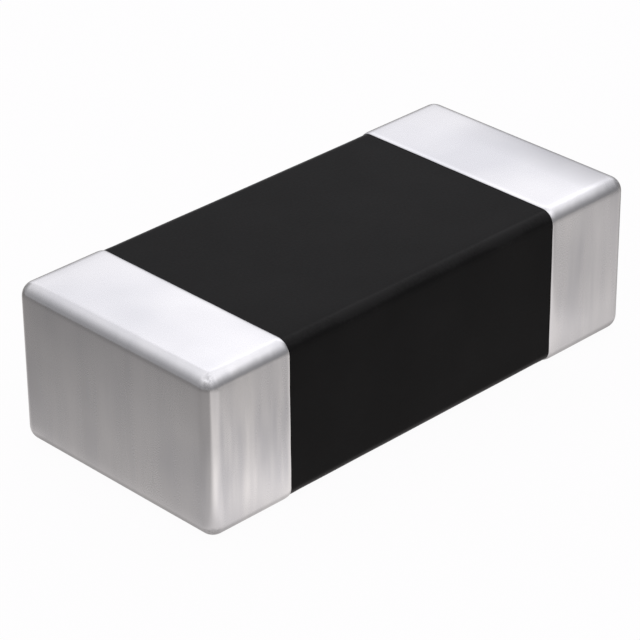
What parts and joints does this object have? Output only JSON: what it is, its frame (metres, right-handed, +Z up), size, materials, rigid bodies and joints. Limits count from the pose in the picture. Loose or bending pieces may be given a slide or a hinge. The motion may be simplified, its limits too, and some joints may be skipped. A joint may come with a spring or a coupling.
{
  "type": "ceramic chip capacitor",
  "caption": "Rectangular surface-mount ceramic chip capacitor with a matte black body and a silvery plated cap wrapped round each end.",
  "frame": {"origin": "under the middle of the chip, level with the solder faces that it rests on", "axes": "+X along the length towards the right end, +Y across the width, +Z up"},
  "size_m": [0.0032, 0.0016, 0.001],
  "materials": {
    "black_ceramic": "matte, fine grained",
    "nickel": "fired or plated nickel, satin",
    "copper": "fired copper, matte",
    "tin": "matte electroplated tin"
  },
  "bodies": {
    "root": {"ceramic_body": "black_ceramic", "copper_termination_left": "copper", "copper_termination_right": "copper", "nickel_barrier_left": "nickel", "nickel_barrier_right": "nickel", "tin_plating_left": "tin", "tin_plating_right": "tin", "electrode_left_01": "nickel", "electrode_left_02": "nickel", "electrode_left_03": "nickel", "electrode_left_04": "nickel", "electrode_left_05": "nickel", "electrode_left_06": "nickel", "electrode_left_07": "nickel", "electrode_left_08": "nickel", "electrode_left_09": "nickel", "electrode_left_10": "nickel", "electrode_right_01": "nickel", "electrode_right_02": "nickel", "electrode_right_03": "nickel", "electrode_right_04": "nickel", "electrode_right_05": "nickel", "electrode_right_06": "nickel", "electrode_right_07": "nickel", "electrode_right_08": "nickel", "electrode_right_09": "nickel", "electrode_right_10": "nickel"}
  },
  "joints": []
}
